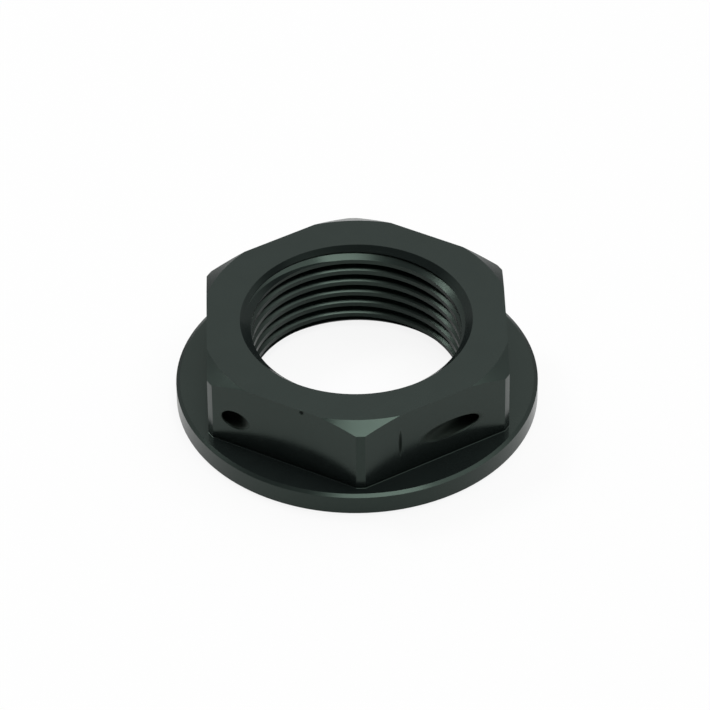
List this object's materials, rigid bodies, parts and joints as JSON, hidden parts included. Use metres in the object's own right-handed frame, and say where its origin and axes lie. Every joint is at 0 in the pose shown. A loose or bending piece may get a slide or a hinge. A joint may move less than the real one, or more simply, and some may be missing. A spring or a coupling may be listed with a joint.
{
  "type": "steering nut",
  "caption": "Flanged hexagon nut for a steering stem, with a fine metric thread, turned corners and slanted holes for locking wire.",
  "frame": {"origin": "centre of the bore in the plane of the flange's bearing face", "axes": "+Z along the thread axis, from the flange towards the hexagon; two corners of the hexagon lie on the Y axis"},
  "size_m": [0.039, 0.039, 0.0107],
  "materials": {
    "black_anodised_aluminium": "satin black anodised"
  },
  "bodies": {
    "root": {"steering_nut": "black_anodised_aluminium"}
  },
  "joints": []
}
